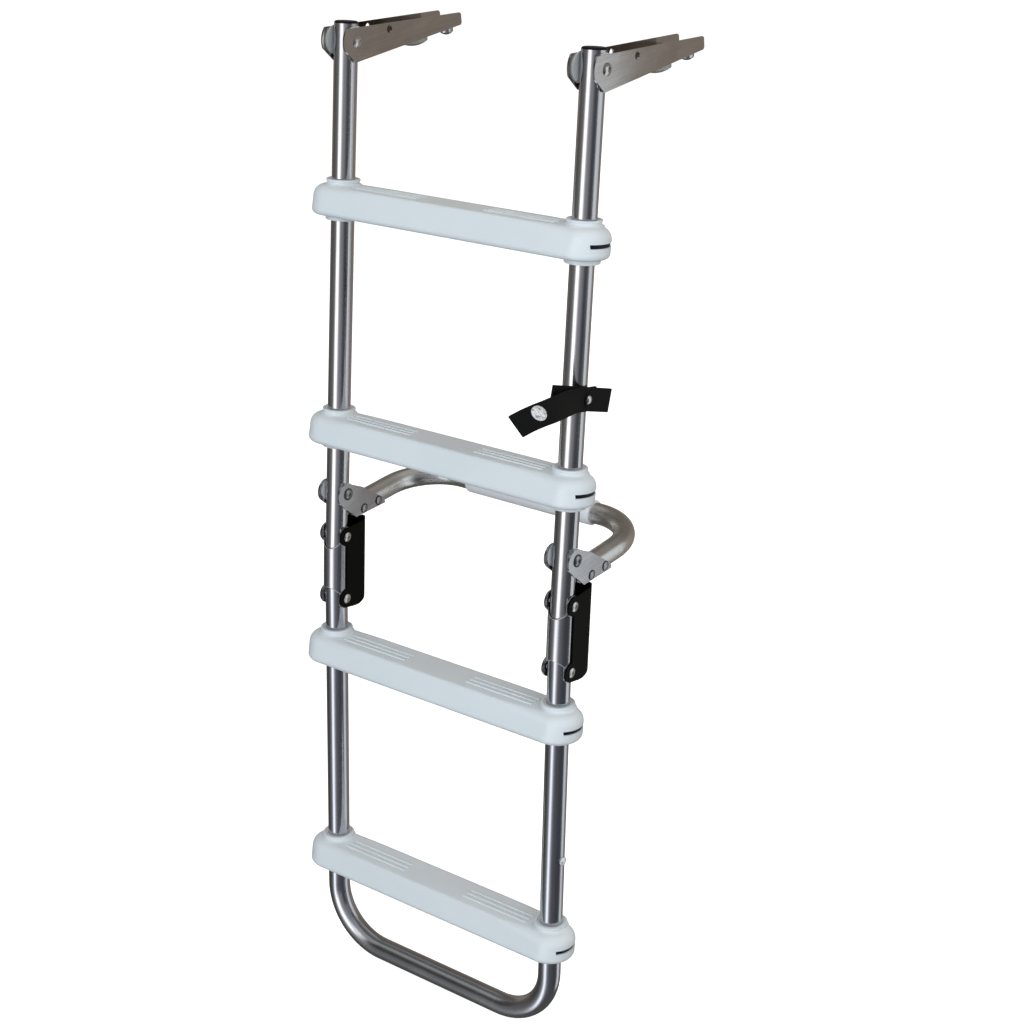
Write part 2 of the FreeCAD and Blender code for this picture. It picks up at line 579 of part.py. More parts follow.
# ---------------------------------------------------------------- two-pivot hinge links
L = S["linklength"]
SI = S["sleeveinner"]
SO = SI + S["sleevewall"]
GI = SO + 0.05
GO = GI + S["guardwall"]
GD = S["guarddepth"]
EAR = 10.8
def fold_sleeve(x, label):
    """Stainless half sleeve: rounded front, flat sides, coped at both ends for the rails."""
    ear = 11.6
    flat = -4.0
    def front(half, face, y_back):
        # rounded front wall between two flat sides
        rr = (half ** 2 + (face + flat) ** 2) / (2.0 * (face + flat))
        arc = Part.Arc(V(-half, flat, -L), V(0, -face, -L), V(half, flat, -L)).toShape()
        rest = Part.makePolygon([V(half, flat, -L), V(half, y_back, -L), V(-half, y_back, -L), V(-half, flat, -L)])
        return Part.Face(Part.Wire([arc] + rest.Edges)).extrude(V(0, 0, L))
    s = front(SO, SO + 0.6, 6.5).cut(front(SI, SI + 0.45, 40))
    for z in (0.0, -L):
        # fish-mouth matching the rail's round when it folds
        s = s.cut(Part.makeCylinder(14.1, 40, V(0, 0, z), V(0, -1, 0)).common(Part.makeBox(2 * SI, 60, 60, V(-SI, -50, z - 30))))
    plates = []
    for sgn in (-1, 1):
        lo = min(sgn * SI, sgn * SO)
        e1 = Part.makeCylinder(ear, SO - SI, V(lo, 0, 0), V(1, 0, 0))
        e2 = Part.makeCylinder(ear, SO - SI, V(lo, 0, -L), V(1, 0, 0))
        plates.append(e1.fuse(e2))
    s = s.fuse(plates)
    s = s.cut(Part.makeCylinder(S["boltrad"], 60, V(-30, 0, 0), V(1, 0, 0)))
    s = s.cut(Part.makeCylinder(S["boltrad"], 60, V(-30, 0, -L), V(1, 0, 0))).removeSplitter()
    if len(s.Solids) != 1:
        raise RuntimeError("the hinge sleeve is not one piece")
    s = s.Solids[0]
    s.translate(V(x, 0, 0))
    node(solid(s, "sleeve"), label, link_frame)

def hinge_guard(x, label):
    """Moulded guard behind the link: a deep channel with an ear round each bolt."""
    top, low, high = 9.6, 12.4, 16.5
    h = L + high + low
    o = Part.makeBox(2 * GO, GD + 20, h, V(-GO, -20, -L - low))
    vert = [e for e in o.Edges if abs(e.Vertexes[0].Z - e.Vertexes[1].Z) > 1 and e.Vertexes[0].Y > 0]
    o = o.makeFillet(6.0, vert)
    i = Part.makeBox(2 * GI, GD + 20 - S["guardwall"], h + 20, V(-GI, -20, -L - low - 10))
    vert = [e for e in i.Edges if abs(e.Vertexes[0].Z - e.Vertexes[1].Z) > 1 and e.Vertexes[0].Y > 0]
    i = i.makeFillet(4.6, vert)
    shell = o.cut(i)
    e1 = Part.makeCylinder(EAR, 60, V(-30, 0, 0), V(1, 0, 0))
    e2 = Part.makeCylinder(EAR, 60, V(-30, 0, -L), V(1, 0, 0))
    back = Part.makeBox(60, GD, h, V(-30, 0, -L - low))
    corner = [e for e in back.Edges if abs(e.Vertexes[0].X - e.Vertexes[1].X) > 1 and e.Vertexes[0].Z < -L and e.Vertexes[0].Y > 5]
    back = back.makeFillet(16.0, corner)
    # the bottom edge falls a little behind the ear
    fall = Part.makePolygon([V(-30, -1, -L - EAR + 0.1), V(-30, 14, -L - low), V(-30, 14, -L - low - 9), V(-30, -1, -L - low - 9), V(-30, -1, -L - EAR + 0.1)])
    back = back.cut(Part.Face(fall).extrude(V(60, 0, 0)))
    # the sides' top edges rise towards the back, and the back wall stands above them
    slope = Part.makePolygon([V(-30, -1, top), V(-30, GD - 6, top + 3.6), V(-30, GD - 6, 60), V(-30, -1, 60), V(-30, -1, top)])
    back = back.cut(Part.Face(slope).extrude(V(60, 0, 0)))
    # hollow in the back wall's top under the bail's tube
    tube_z = S["bailpivot"] - S["hingeupper"] - 21.85
    back = back.cut(Part.makeCylinder(14.6, 40, V(0, GD - 20, tube_z), V(0, 1, 0)))
    mid = Part.makeBox(60, 6, L, V(-30, 0.6, -L))
    keep = back.fuse([e1, e2, mid])
    s = shell.common(keep)
    s = s.cut(Part.makeCylinder(S["boltrad"], 60, V(-30, 0, 0), V(1, 0, 0)))
    s = s.cut(Part.makeCylinder(S["boltrad"], 60, V(-30, 0, -L), V(1, 0, 0))).removeSplitter()
    if len(s.Solids) != 1:
        raise RuntimeError("the hinge guard is not one piece")
    s = s.Solids[0]
    s.translate(V(x, 0, 0))
    node(solid(s, "guard"), label, link_frame)

for side, x in (("left", 0.0), ("right", W)):
    fold_sleeve(x, side + "_fold_sleeve")
    hinge_guard(x, side + "_hinge_guard")
    for which, z in (("upper", 0.0), ("lower", -L)):
        s = through_bolt(-GO, GO, S["boltrad"], 5.4, 2.0, 2.2)
        s.translate(V(x, 0, z))
        node(solid(s, "hinge_bolt"), "%s_%s_hinge_bolt" % (side, which), link_frame)

# ---------------------------------------------------------------- lower section
foot = doc.addObject("PartDesign::Body", uid("foot"))
H = S["footlength"]
RF = S["footbend"]
zt = S["tubeshort"]
path = sketch(foot, "XZ_Plane", "path")
path.addGeometry(Part.LineSegment(V(0, zt, 0), V(0, -H + RF, 0)), False)
k = RF * (1 - math.sqrt(0.5))
path.addGeometry(Part.Arc(V(0, -H + RF, 0), V(k, -H + k, 0), V(RF, -H, 0)), False)
path.addGeometry(Part.LineSegment(V(RF, -H, 0), V(W - RF, -H, 0)), False)
path.addGeometry(Part.Arc(V(W - RF, -H, 0), V(W - k, -H + k, 0), V(W, -H + RF, 0)), False)
path.addGeometry(Part.LineSegment(V(W, -H + RF, 0), V(W, zt, 0)), False)
prof = sketch(foot, "XY_Plane", "section", zt)
prof.addGeometry(Part.Circle(V(0, 0, 0), V(0, 0, 1), R), False)
prof.addGeometry(Part.Circle(V(0, 0, 0), V(0, 0, 1), RI), False)
doc.recompute()
pipe = foot.newObject("PartDesign::AdditivePipe", uid("pipe"))
pipe.Profile = prof
pipe.Spine = (path, ["Edge1", "Edge2", "Edge3", "Edge4", "Edge5"])
doc.recompute()
tools = []
for x in (0.0, W):
    tools.append(cyl("Sizes.boltrad + Sizes.boltplay", 60, (x - 30, 0, 0), (1, 0, 0)))
tools.append(cyl(2.5, 30, (W, 0, -S["studdrop"]), (1, 0, 0)))
node(cut(foot, fuse(tools)), "lower_rail", foot_frame)

st = dome_head(4.8, 3.2, 1.6)
st.translate(V(W + R - 0.2, 0, 0))
st = st.fuse(Part.makeCylinder(2.45, 8, V(W + R - 6, 0, 0), V(1, 0, 0)))
st = st.cut(Part.makeCylinder(R + 0.02, 40, V(W, 0, -20), V(0, 0, 1)).cut(Part.makeCylinder(2.45, 60, V(W - 30, 0, 0), V(1, 0, 0))))
st.translate(V(0, 0, -S["studdrop"]))
node(solid(st, "stud"), "snap_stud", foot_frame)

# ---------------------------------------------------------------- place, check, write
doc.recompute()
for label, obj, frame in NODES:
    f = frame() if callable(frame) else frame
    obj.Placement = f.multiply(obj.Placement)
doc.recompute()

bad = []
for o in doc.Objects:
    if any(s in ("Invalid", "Error") for s in o.State):
        bad.append("%s %s %s" % (o.Name, o.Label, o.State))
for label, obj, frame in NODES:
    sh = obj.Shape
    if sh.isNull() or not sh.isValid() or not sh.Solids:
        bad.append("%s has no valid solid" % label)
if bad:
    raise RuntimeError("; ".join(bad))

os.makedirs("parts", exist_ok=True)
total = 0.0
for label, obj, frame in NODES:
    obj.Shape.exportStep("parts/%s.step" % label)
    total += obj.Shape.Volume
    bb = obj.Shape.BoundBox
    print("%-24s solids %d  vol %9.1f  box x %.1f..%.1f y %.1f..%.1f z %.1f..%.1f" % (
        label, len(obj.Shape.Solids), obj.Shape.Volume, bb.XMin, bb.XMax, bb.YMin, bb.YMax, bb.ZMin, bb.ZMax))
print("nodes", len(NODES), "volume", round(total, 1))
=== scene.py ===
import bpy
import bmesh
import math
from mathutils import Matrix, Vector


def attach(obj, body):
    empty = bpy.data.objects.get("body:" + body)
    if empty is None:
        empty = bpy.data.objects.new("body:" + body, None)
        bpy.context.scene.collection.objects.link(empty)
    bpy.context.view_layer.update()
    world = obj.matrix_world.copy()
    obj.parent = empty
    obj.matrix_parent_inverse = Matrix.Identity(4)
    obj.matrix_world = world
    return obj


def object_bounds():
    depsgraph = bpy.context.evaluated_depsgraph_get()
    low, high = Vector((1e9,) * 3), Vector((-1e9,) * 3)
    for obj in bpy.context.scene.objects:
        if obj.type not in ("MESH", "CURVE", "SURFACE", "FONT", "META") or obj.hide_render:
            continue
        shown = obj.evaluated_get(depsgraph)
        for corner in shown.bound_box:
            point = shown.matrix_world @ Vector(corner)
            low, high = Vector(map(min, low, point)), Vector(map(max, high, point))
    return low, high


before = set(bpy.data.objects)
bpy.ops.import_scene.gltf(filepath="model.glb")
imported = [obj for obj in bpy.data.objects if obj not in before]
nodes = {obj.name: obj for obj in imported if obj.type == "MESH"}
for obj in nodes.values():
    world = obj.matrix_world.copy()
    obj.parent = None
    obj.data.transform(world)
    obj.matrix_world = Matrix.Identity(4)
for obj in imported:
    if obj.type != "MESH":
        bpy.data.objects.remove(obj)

cad_lo, cad_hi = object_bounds()
scene = bpy.context.scene

# rails lean outwards at the foot by this much, the lower section by a little less
LEAN = math.radians(11.15)
FOOT = math.radians(8.85)


# ---------------------------------------------------------------- node helpers
def new_material(name):
    m = bpy.data.materials.new(name)
    m.use_nodes = True
    nt = m.node_tree
    nt.nodes.clear()
    out = nt.nodes.new("ShaderNodeOutputMaterial")
    bsdf = nt.nodes.new("ShaderNodeBsdfPrincipled")
    nt.links.new(bsdf.outputs["BSDF"], out.inputs["Surface"])
    return m, nt, bsdf


def coords(nt, scale=(1, 1, 1), turn=(0, 0, 0)):
    tc = nt.nodes.new("ShaderNodeTexCoord")
    mp = nt.nodes.new("ShaderNodeMapping")
    mp.vector_type = "TEXTURE"
    mp.inputs["Rotation"].default_value = turn
    mp.inputs["Scale"].default_value = [1.0 / s for s in scale]
    nt.links.new(tc.outputs["Object"], mp.inputs["Vector"])
    return mp.outputs["Vector"]


def noise(nt, vec, scale, detail=4.0, rough=0.55, distort=0.0):
    n = nt.nodes.new("ShaderNodeTexNoise")
    n.inputs["Scale"].default_value = scale
    n.inputs["Detail"].default_value = detail
    n.inputs["Roughness"].default_value = rough
    n.inputs["Distortion"].default_value = distort
    nt.links.new(vec, n.inputs["Vector"])
    return n.outputs["Fac"]


def ramp(nt, fac, stops):
    r = nt.nodes.new("ShaderNodeValToRGB")
    cr = r.color_ramp
    while len(cr.elements) < len(stops):
        cr.elements.new(0.5)
    for e, (pos, col) in zip(cr.elements, stops):
        e.position = pos
        e.color = (*col, 1.0) if len(col) == 3 else col
    nt.links.new(fac, r.inputs["Fac"])
    return r.outputs["Color"]


def spread(nt, fac, lo, hi, frm=(0.3, 0.7)):
    m = nt.nodes.new("ShaderNodeMapRange")
    m.inputs["From Min"].default_value = frm[0]
    m.inputs["From Max"].default_value = frm[1]
    m.inputs["To Min"].default_value = lo
    m.inputs["To Max"].default_value = hi
    nt.links.new(fac, m.inputs["Value"])
    return m.outputs["Result"]


def math_node(nt, op, a, b=None, clamp=False):
    n = nt.nodes.new("ShaderNodeMath")
    n.operation = op
    n.use_clamp = clamp
    for i, v in enumerate((a, b)):
        if v is None:
            continue
        if isinstance(v, (int, float)):
            n.inputs[i].default_value = v
        else:
            nt.links.new(v, n.inputs[i])
    return n.outputs[0]


def mix_color(nt, fac, a, b, blend="MIX"):
    n = nt.nodes.new("ShaderNodeMix")
    n.data_type = "RGBA"
    n.blend_type = blend
    for sock, v in ((n.inputs["Factor"], fac), (n.inputs[6], a), (n.inputs[7], b)):
        if isinstance(v, (int, float)):
            sock.default_value = v
        elif isinstance(v, (tuple, list)):
            sock.default_value = (*v, 1.0) if len(v) == 3 else v
        else:
            nt.links.new(v, sock)
    return n.outputs[2]


def bump(nt, height, strength, distance, normal=None):
    b = nt.nodes.new("ShaderNodeBump")
    b.inputs["Strength"].default_value = strength
    b.inputs["Distance"].default_value = distance
    nt.links.new(height, b.inputs["Height"])
    if normal is not None:
        nt.links.new(normal, b.inputs["Normal"])
    return b.outputs["Normal"]


# ---------------------------------------------------------------- materials
def steel(name, turn, base, dark, rough=(0.10, 0.20), streak=(260.0, 260.0, 3.0), dent=0.10):
    """Polished stainless tube: long fine draw lines, faint water marks and handling haze."""
    m, nt, bsdf = new_material(name)
    lines = noise(nt, coords(nt, streak, turn), 1.0, 5.0, 0.6)
    haze = noise(nt, coords(nt, (14, 14, 5), turn), 1.0, 4.0, 0.6, 0.4)
    specks = noise(nt, coords(nt, (420, 420, 420), turn), 1.0, 2.0, 0.5)
    tone = ramp(nt, haze, [(0.30, dark), (0.72, base)])
    tone = mix_color(nt, spread(nt, lines, 0.0, 0.30), tone, tuple(c * 0.72 for c in base))
    nt.links.new(tone, bsdf.inputs["Base Color"])
    r1 = spread(nt, lines, rough[0], rough[1])
    r2 = spread(nt, haze, -0.02, 0.05)
    nt.links.new(math_node(nt, "ADD", r1, r2, True), bsdf.inputs["Roughness"])
    n1 = bump(nt, lines, dent, 0.00006 if dent < 0.5 else 0.0006)
    n2 = bump(nt, specks, 0.05, 0.00003, n1)
    nt.links.new(n2, bsdf.inputs["Normal"])
    bsdf.inputs["Metallic"].default_value = 1.0
    return m


def sheet_steel(name, turn, base, dark, rough=(0.22, 0.36)):
    """Satin stainless sheet: grain along the bracket, cloudy tarnish and a few scratches."""
    m, nt, bsdf = new_material(name)
    grain = noise(nt, coords(nt, (330, 12, 330), turn), 1.0, 5.0, 0.65)
    cloud = noise(nt, coords(nt, (26, 18, 26), turn), 1.0, 5.0, 0.6, 0.8)
    fine = noise(nt, coords(nt, (900, 900, 900), turn), 1.0, 2.0, 0.5)
    tone = ramp(nt, cloud, [(0.28, dark), (0.50, tuple((a + b) / 2 for a, b in zip(base, dark))), (0.74, base)])
    tone = mix_color(nt, spread(nt, grain, 0.0, 0.35), tone, tuple(c * 0.68 for c in dark))
    nt.links.new(tone, bsdf.inputs["Base Color"])
    nt.links.new(math_node(nt, "ADD", spread(nt, grain, rough[0], rough[1]), spread(nt, cloud, -0.02, 0.04), True), bsdf.inputs["Roughness"])
    n1 = bump(nt, grain, 0.16, 0.0001)
    n2 = bump(nt, fine, 0.08, 0.00005, n1)
    nt.links.new(n2, bsdf.inputs["Normal"])
    bsdf.inputs["Metallic"].default_value = 1.0
    return m


def plastic(name, base, shade, rough, grain_size, grain_bump, mottling=0.25, spec=0.5, coat=0.0, coat_rough=0.15, sss=0.0):
    """Moulded plastic: soft mottling, slight orange peel and a fine surface grain."""
    m, nt, bsdf = new_material(name)
    mott = noise(nt, coords(nt, (9, 9, 9)), 1.0, 4.0, 0.6, 0.5)
    peel = noise(nt, coords(nt, (130, 130, 130)), 1.0, 3.0, 0.5)
    grain = noise(nt, coords(nt, (grain_size,) * 3), 1.0, 3.0, 0.6)
    tone = ramp(nt, mott, [(0.30, shade), (0.70, base)])
    tone = mix_color(nt, spread(nt, grain, 0.0, mottling), tone, tuple(c * 0.9 for c in shade))
    nt.links.new(tone, bsdf.inputs["Base Color"])
    nt.links.new(math_node(nt, "ADD", spread(nt, grain, rough[0], rough[1]), spread(nt, mott, -0.03, 0.04), True), bsdf.inputs["Roughness"])
    n1 = bump(nt, peel, 0.10, 0.0002)
    n2 = bump(nt, grain, grain_bump, 0.0001, n1)
    nt.links.new(n2, bsdf.inputs["Normal"])
    bsdf.inputs["Specular IOR Level"].default_value = spec
    if coat:
        bsdf.inputs["Coat Weight"].default_value = coat
        bsdf.inputs["Coat Roughness"].default_value = coat_rough
    if sss:
        bsdf.inputs["Subsurface Weight"].default_value = sss
        bsdf.inputs["Subsurface Radius"].default_value = (0.004, 0.004, 0.004)
        bsdf.inputs["Subsurface Scale"].default_value = 1.0
    return m


def plated(name, base, dark):
    """Nickel plating: bright, with dark dull flecks painted into the colour as mottled reflections, and a dimpled
    surface.
    """
    m, nt, bsdf = new_material(name)
    reflection_flecks = noise(nt, coords(nt, (330, 330, 330)), 1.0, 3.0, 0.6, 0.6)
    fine = noise(nt, coords(nt, (1200, 1200, 1200)), 1.0, 2.0, 0.5)
    # painted reflection: dark flecks in the colour standing in for the mottled dark reflections on the snap
    tone = ramp(nt, reflection_flecks, [(0.36, dark), (0.45, tuple(0.5 * (a + b) for a, b in zip(base, dark))), (0.52, base)])
    nt.links.new(tone, bsdf.inputs["Base Color"])
    nt.links.new(spread(nt, reflection_flecks, 0.42, 0.22), bsdf.inputs["Roughness"])
    nt.links.new(bump(nt, fine, 0.2, 0.0001, bump(nt, reflection_flecks, 0.5, 0.0004)), bsdf.inputs["Normal"])
    bsdf.inputs["Metallic"].default_value = 0.35
    return m


mat_rail = steel("rail_steel", (-LEAN, 0, 0), (0.70, 0.70, 0.72), (0.58, 0.58, 0.60))
mat_foot = steel("foot_steel", (-FOOT, 0, 0), (0.66, 0.67, 0.70), (0.52, 0.53, 0.57))
mat_bail = steel("bail_steel", (0, 0, 0), (0.90, 0.90, 0.87), (0.72, 0.72, 0.69), rough=(0.20, 0.32), streak=(60.0, 60.0, 60.0))
mat_sleeve = steel("sleeve_steel", (-LEAN, 0, 0), (0.66, 0.66, 0.68), (0.52, 0.52, 0.55), rough=(0.10, 0.20))
mat_bracket = sheet_steel("bracket_steel", (0, 0, 0), (0.70, 0.68, 0.65), (0.57, 0.55, 0.52), (0.06, 0.11))
mat_plate = sheet_steel("plate_steel", (0, 0, 0), (0.74, 0.75, 0.77), (0.60, 0.61, 0.63), (0.12, 0.22))
mat_bolt = steel("bolt_steel", (0, 0, 0), (0.80, 0.79, 0.77), (0.62, 0.61, 0.58), rough=(0.12, 0.24), streak=(120.0, 120.0, 120.0))
mat_snap = plated("snap_nickel", (0.98, 0.98, 0.98), (0.30, 0.31, 0.32))
mat_dull = steel("dull_bolt_steel", (0, 0, 0), (0.50, 0.51, 0.52), (0.36, 0.37, 0.38), rough=(0.24, 0.36), streak=(120.0, 120.0, 120.0))
mat_tread = plastic("tread_plastic", (0.795, 0.832, 0.850), (0.76, 0.797, 0.815), (0.30, 0.42), 900.0, 0.10, 0.20)
mat_nylon = plastic("white_nylon", (0.93, 0.94, 0.96), (0.88, 0.89, 0.91), (0.34, 0.46), 700.0, 0.12, 0.20)
mat_spacer = plastic("spacer_nylon", (0.66, 0.68, 0.68), (0.56, 0.58, 0.58), (0.36, 0.48), 700.0, 0.12, 0.25)
mat_guard = plastic("black_plastic", (0.0026, 0.0027, 0.0015), (0.0012, 0.0012, 0.0009), (0.34, 0.48), 1100.0, 0.25, 0.35, spec=0.07)
mat_cap = plastic("cap_plastic", (0.005, 0.005, 0.005), (0.003, 0.003, 0.003), (0.28, 0.42), 900.0, 0.20, 0.30, spec=0.22)
mat_rubber = plastic("strap_rubber", (0.0065, 0.0068, 0.0068), (0.0035, 0.0035, 0.0035), (0.55, 0.75), 1400.0, 0.35, 0.30, spec=0.14)
# near-black painted shade for the hollow inside the treads' end slots
mat_slot_shade = plastic("slot_painted_shade", (0.010, 0.012, 0.018), (0.005, 0.006, 0.010), (0.35, 0.50), 900.0, 0.20, 0.30, spec=0.2)
mat_washer = plastic("washer_nylon", (0.80, 0.82, 0.84), (0.72, 0.74, 0.76), (0.30, 0.42), 700.0, 0.12, 0.20)
# dark steel as painted shade for the gap round the bail's bolt heads
mat_bolt_gap_shade = steel("bolt_gap_painted_shade", (0, 0, 0), (0.13, 0.13, 0.14), (0.06, 0.06, 0.07), rough=(0.30, 0.45), streak=(140.0, 140.0, 140.0))
# much brighter than the sleeve steel: painted highlight along the sleeves' coped edges
mat_edge_highlight = steel("rolled_edge_painted_highlight", (0, 0, 0), (0.95, 0.95, 0.95), (0.86, 0.86, 0.86), rough=(0.28, 0.40), streak=(140.0, 140.0, 140.0))
mat_pad = plastic("seat_rubber", (0.42, 0.41, 0.39), (0.30, 0.29, 0.27), (0.44, 0.60), 900.0, 0.2, 0.3)

FINISH = {
    "left_upper_rail": mat_rail, "right_upper_rail": mat_rail, "lower_rail": mat_foot,
    "bail_tube": mat_bail, "bail_sleeve": mat_nylon,
    "strap_band": mat_rubber, "strap_flap": mat_rubber, "strap_bolt": mat_bolt,
    "snap_button": mat_snap, "snap_stud": mat_snap,
}
for side in ("left", "right"):
    FINISH[side + "_deck_bracket"] = mat_bracket
    FINISH[side + "_pivot_bolt"] = mat_bolt
    FINISH[side + "_nylon_spacers"] = mat_spacer
    FINISH[side + "_seat_pad"] = mat_pad
    FINISH[side + "_deck_stud"] = mat_plate
    FINISH[side + "_rail_cap"] = mat_cap
    FINISH[side + "_bail_bracket"] = mat_plate
    FINISH[side + "_bail_pivot"] = mat_dull
    FINISH[side + "_bail_bolts"] = mat_dull
    FINISH[side + "_fold_sleeve"] = mat_sleeve
    FINISH[side + "_hinge_guard"] = mat_guard
    FINISH[side + "_upper_hinge_bolt"] = mat_bolt
    FINISH[side + "_lower_hinge_bolt"] = mat_bolt
for k in (1, 2, 3, 4):
    FINISH["tread_%d" % k] = mat_tread

for name, obj in nodes.items():
    mat = FINISH[name]
    if not obj.material_slots:
        obj.data.materials.append(mat)
    for s in obj.material_slots:
        s.material = mat


# ---------------------------------------------------------------- small parts on the model
W = 0.314
MM = 0.001


def place(y, z, turn_deg):
    return Matrix.Translation((0, y, z)) @ Matrix.Rotation(math.radians(turn_deg), 4, "X")


RAIL = place(-0.0517, 0.021, -11.15)
LINK = RAIL @ place(0, -0.5439, 1.15)
FOOTF = LINK @ place(0, -0.0745, 1.15)
BAIL = RAIL @ place(0, -0.4934, 8.9)


def add_piece(name, bm, matrix, body, mat, smooth=None):
    me = bpy.data.meshes.new(name)
    bmesh.ops.recalc_face_normals(bm, faces=bm.faces[:])
    bmesh.ops.transform(bm, matrix=matrix, verts=bm.verts[:])
    bm.to_mesh(me)
    bm.free()
    me.materials.append(mat)
    if smooth is not None:
        for p in me.polygons:
            p.use_smooth = True
        me.set_sharp_from_angle(angle=math.radians(smooth))
    o = bpy.data.objects.new(name, me)
    scene.collection.objects.link(o)
    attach(o, body)
    return o


def lathe(profile, count=40):
    """Ring or cap turned about +X from (radius, x) points in mm."""
    bm = bmesh.new()
    loops = []
    for k in range(count):
        a = 2 * math.pi * k / count
        loops.append([bm.verts.new((x * MM, r * MM * math.cos(a), r * MM * math.sin(a))) for r, x in profile])
    for k in range(count):
        p, q = loops[k], loops[(k + 1) % count]
        for i in range(len(profile)):
            j = (i + 1) % len(profile)
            bm.faces.new((p[i], p[j], q[j], q[i]))
    return bm


def ring_piece(name, matrix, centre, sign, r_in, r_out, high, body, mat):
    """Flat ring with rounded edges, standing on a face that looks along sign * X."""
    e = min(0.3, high * 0.45)
    prof = [(r_in, 0.02), (r_in, high - e), (r_in + 0.35 * e, high - 0.35 * e), (r_in + e, high),
            (r_out - e, high), (r_out - 0.35 * e, high - 0.35 * e), (r_out, high - e), (r_out, 0.02)]
    bm = lathe([(r, sign * x) for r, x in prof])
    at = Matrix.Translation([c * MM for c in centre])
    return add_piece(name, bm, matrix @ at, body, mat, smooth=35)


# painted shade in the treads' end slots: near-black pieces just behind each slot mouth, standing in for the shadowed
# hollow inside
def slot_shade_piece(name, matrix, sign, top_mm, body):
    cx, cy, rad, half = 3.29, -3.85, 25.8, 2.05
    reach = 21.75 - cx
    open_a = math.acos(reach / rad)
    bm = bmesh.new()
    loops = []
    for z in (-half, -half + 0.35, half - 0.35, half):
        r = rad - (0.3 if abs(z) == half else 0.0)
        row = []
        for i in range(25):
            a = -open_a + 2 * open_a * i / 24
            row.append(bm.verts.new((sign * max(cx + r * math.cos(a), 21.75) * MM, (cy + r * math.sin(a)) * MM, z * MM)))
        loops.append(row)
    for p, q in zip(loops[:-1], loops[1:]):
        for i in range(24):
            bm.faces.new((p[i], p[i + 1], q[i + 1], q[i]))
        bm.faces.new((p[24], p[0], q[0], q[24]))
    bm.faces.new(loops[0])
    bm.faces.new(loops[-1])
    at = Matrix.Translation((W if sign > 0 else 0.0, 0, (top_mm - 22.6) * MM))
    return add_piece(name, bm, matrix @ at, body, mat_slot_shade, smooth=40)


for k, (matrix, top_mm, body) in enumerate([(RAIL, -143.3, "upper_section"), (RAIL, -395.6, "upper_section"),
                                            (FOOTF, -37.9, "lower_section"), (FOOTF, -304.6, "lower_section")], start=1):
    slot_shade_piece("tread_%d_slot_insert_left" % k, matrix, -1, top_mm, body)
    slot_shade_piece("tread_%d_slot_insert_right" % k, matrix, 1, top_mm, body)

# turned ends of the sleeve on the bail's cross bar
def sleeve_end(name, x0, x1):
    out = x1
    step = 1.0 if x1 > x0 else -1.0
    prof = [(12.08, x0), (14.56, x0), (14.56, out - 1.6 * step), (14.3, out - 0.7 * step), (13.7, out - 0.15 * step), (13.0, out), (12.08, out)]
    at = Matrix.Translation((0, 149.6 * MM, -26.8 * MM))
    return add_piece(name, lathe(prof, 48), BAIL @ at, "bail", mat_nylon, smooth=40)


sleeve_end("bail_sleeve_end_left", 76.1, 72.6)
sleeve_end("bail_sleeve_end_right", 237.9, 246.2)

# pale bushings between the treads' collars and the tubes
def collar_bushing(name, matrix, x_mm, top_mm, body):
    prof = [(12.73, -2.9), (12.73, -1.05), (12.95, -0.72), (13.3, -0.6), (14.6, -0.45), (14.98, -0.6), (15.14, -0.95), (15.14, -2.9)]
    bm = lathe([(r, z) for r, z in prof], 56)
    stand = Matrix.Translation((x_mm * MM, 0, top_mm * MM)) @ Matrix.Rotation(math.radians(-90), 4, "Y")
    return add_piece(name, bm, matrix @ stand, body, mat_tread, smooth=40)


for k, (matrix, top_mm, body) in enumerate([(RAIL, -143.3, "upper_section"), (RAIL, -395.6, "upper_section"),
                                            (FOOTF, -37.9, "lower_section"), (FOOTF, -304.6, "lower_section")], start=1):
    for side, x in (("left", 0.0), ("right", 314.0)):
        collar_bushing("tread_%d_collar_bushing_%s" % (k, side), matrix, x, top_mm, body)

# painted shade rings round the bail's bolt heads, standing in for the shadowed gap round the recessed heads, and the
# strap bolt's raised ring
for side, x in (("left", 0.0), ("right", 314.0)):
    for sign, face in ((-1, "a"), (1, "b")):
        fx = x + sign * 15.9
        ring_piece("%s_bail_pivot_ring_%s" % (side, face), BAIL, (fx, 0, 0), sign, 5.7, 7.0, 0.5, "bail", mat_bolt_gap_shade)
        for n, y in enumerate((24.0, 48.8), start=1):
            ring_piece("%s_bail_bolt_%d_ring_%s" % (side, n, face), BAIL, (fx, y, -26.8), sign, 4.5, 5.6, 0.4, "bail", mat_bolt_gap_shade)
for side, x in (("left", 0.0), ("right", 314.0)):
    for sign, face in ((-1, "a"), (1, "b")):
        ring_piece("%s_bail_washer_%s" % (side, face), BAIL, (x + sign * 12.78, 0, 0), sign, 4.3, 12.4, 0.55, "bail", mat_washer)
ring_piece("strap_bolt_ring", RAIL, (314.0 + 17.75, 0, -322.4), 1, 4.9, 7.6, 1.0, "upper_section", mat_rubber)


